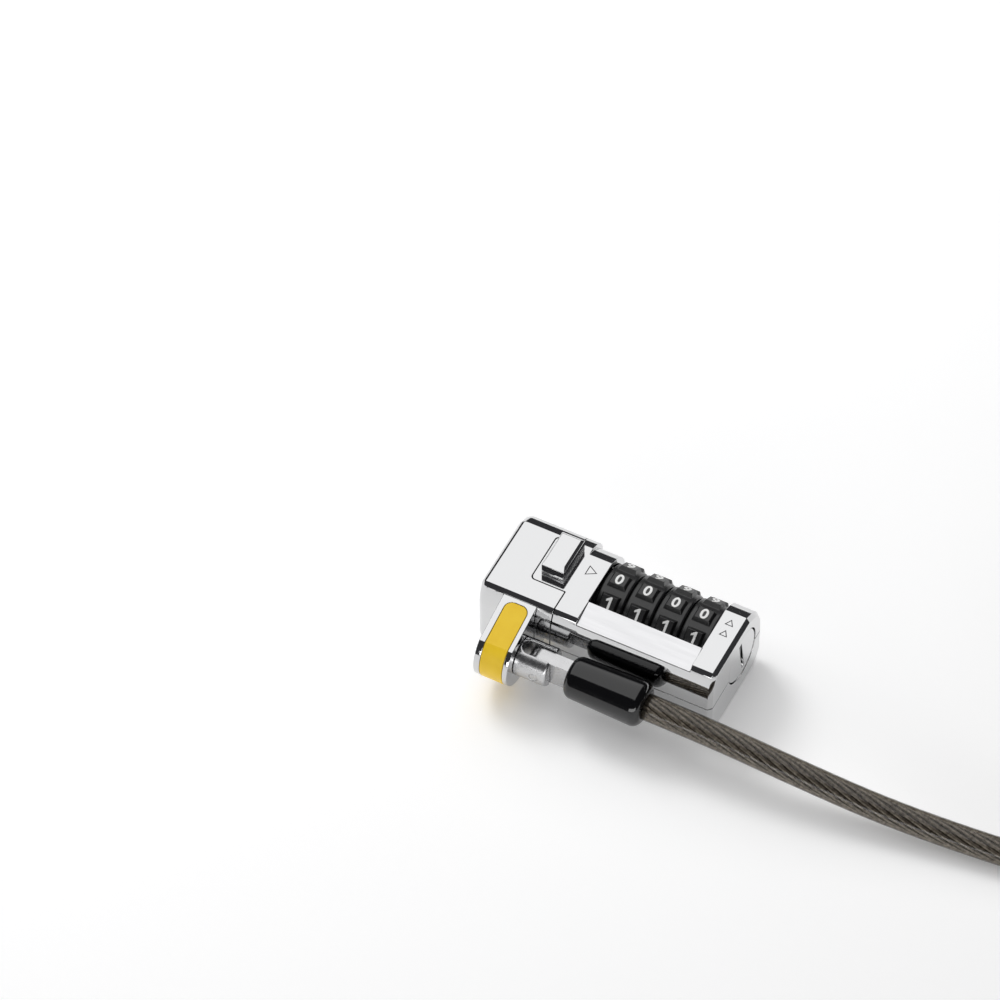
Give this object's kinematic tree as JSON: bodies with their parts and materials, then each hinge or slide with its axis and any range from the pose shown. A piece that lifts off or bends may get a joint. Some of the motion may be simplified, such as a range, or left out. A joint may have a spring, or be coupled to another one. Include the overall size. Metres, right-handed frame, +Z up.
{
  "type": "laptop cable lock",
  "caption": "Combination lock head for a laptop security cable: dials, release button, swivelling cable lug, anchor socket and a coiled cable with a loop.",
  "frame": {"origin": "bottom centre of the lock head's box, cable left out", "axes": "+X from the anchor socket to the reset screw, +Y away from the cable lug, +Z up through the release button"},
  "size_m": [0.1827, 0.101, 0.0215],
  "materials": {
    "chrome_shell": "polished chrome plate",
    "blank_plate": "soft polished chrome",
    "yellow_band": "semi-gloss moulded",
    "black_dial": "satin moulded, white filled digits",
    "cast_zinc": "die-cast, unpolished",
    "satin_steel": "turned, satin",
    "black_boot": "high gloss moulded",
    "sheathed_cable": "smoked clear sheath over twisted steel strands",
    "aluminium_crimp": "pressed, satin"
  },
  "bodies": {
    "housing": {"upper_housing": "chrome_shell", "base_housing": "chrome_shell", "nose_housing": "chrome_shell", "name_plate": "blank_plate", "cable_lug": "chrome_shell", "lug_band": "yellow_band", "ball_cage": "cast_zinc", "front_bearing_plate": "cast_zinc", "rear_bearing_plate": "cast_zinc", "latch_spring": "satin_steel", "detent_spring": "satin_steel", "housing_screws": "satin_steel"},
    "latch": {"release_button": "chrome_shell", "latch_carrier": "cast_zinc", "latch_collar": "cast_zinc", "spindle": "satin_steel"},
    "reset": {"reset_screw": "chrome_shell"},
    "swivel": {"swivel_fork": "satin_steel", "swivel_retainer": "satin_steel", "pivot_pin": "satin_steel"},
    "cable_end": {"cable_tang": "satin_steel", "crimp_ferrule": "satin_steel", "cable_boot": "black_boot", "security_cable": "sheathed_cable", "cable_coil": "sheathed_cable", "cable_tail": "sheathed_cable", "loop_sleeve": "aluminium_crimp", "loop_eye": "sheathed_cable"},
    "dial_body_1": {"dial_1": "black_dial", "code_sleeve_1": "cast_zinc"},
    "dial_body_2": {"dial_2": "black_dial", "code_sleeve_2": "cast_zinc"},
    "dial_body_3": {"dial_3": "black_dial", "code_sleeve_3": "cast_zinc"},
    "dial_body_4": {"dial_4": "black_dial", "code_sleeve_4": "cast_zinc"},
    "ball_body_1": {"locking_ball_1": "satin_steel"},
    "ball_body_2": {"locking_ball_2": "satin_steel"},
    "ball_body_3": {"locking_ball_3": "satin_steel"}
  },
  "joints": [
    {"name": "latch_slide", "type": "slide", "parent": "housing", "child": "latch", "axis": [1, 0, 0], "range_m": [0, 0.002], "stiffness_N_per_m": 400, "springref_m": -0.004, "deforming": ["latch_spring"]},
    {"name": "dial_1_spin", "type": "hinge", "parent": "housing", "child": "dial_body_1", "pos_m": [-0.00126, 0.00845, 0.0102], "axis": [1, 0, 0], "continuous": true},
    {"name": "dial_2_spin", "type": "hinge", "parent": "housing", "child": "dial_body_2", "pos_m": [0.00482, 0.00845, 0.0102], "axis": [1, 0, 0], "continuous": true},
    {"name": "dial_3_spin", "type": "hinge", "parent": "housing", "child": "dial_body_3", "pos_m": [0.0109, 0.00845, 0.0102], "axis": [1, 0, 0], "continuous": true},
    {"name": "dial_4_spin", "type": "hinge", "parent": "housing", "child": "dial_body_4", "pos_m": [0.01698, 0.00845, 0.0102], "axis": [1, 0, 0], "continuous": true},
    {"name": "ball_1_shift", "type": "slide", "parent": "housing", "child": "ball_body_1", "axis": [0, 0, 1], "range_m": [0, 0.00085]},
    {"name": "ball_2_shift", "type": "slide", "parent": "housing", "child": "ball_body_2", "axis": [0, -0.866, -0.5], "range_m": [0, 0.00085]},
    {"name": "ball_3_shift", "type": "slide", "parent": "housing", "child": "ball_body_3", "axis": [0, 0.866, -0.5], "range_m": [0, 0.00085]},
    {"name": "reset_turn", "type": "hinge", "parent": "housing", "child": "reset", "pos_m": [0.0235, 0.00845, 0.0102], "axis": [1, 0, 0], "range_deg": [0, 90]},
    {"name": "swivel_spin", "type": "hinge", "parent": "housing", "child": "swivel", "pos_m": [-0.0164, -0.01065, 0.0099], "axis": [1, 0, 0], "continuous": true},
    {"name": "cable_pivot", "type": "hinge", "parent": "swivel", "child": "cable_end", "pos_m": [-0.0084, -0.01065, 0.0099], "axis": [0, 1, 0], "range_deg": [-80, 80]}
  ],
  "couplings": [
    {"joint": "ball_1_shift", "follows": "latch_slide", "ratio": 0.425},
    {"joint": "ball_2_shift", "follows": "latch_slide", "ratio": 0.425},
    {"joint": "ball_3_shift", "follows": "latch_slide", "ratio": 0.425}
  ]
}
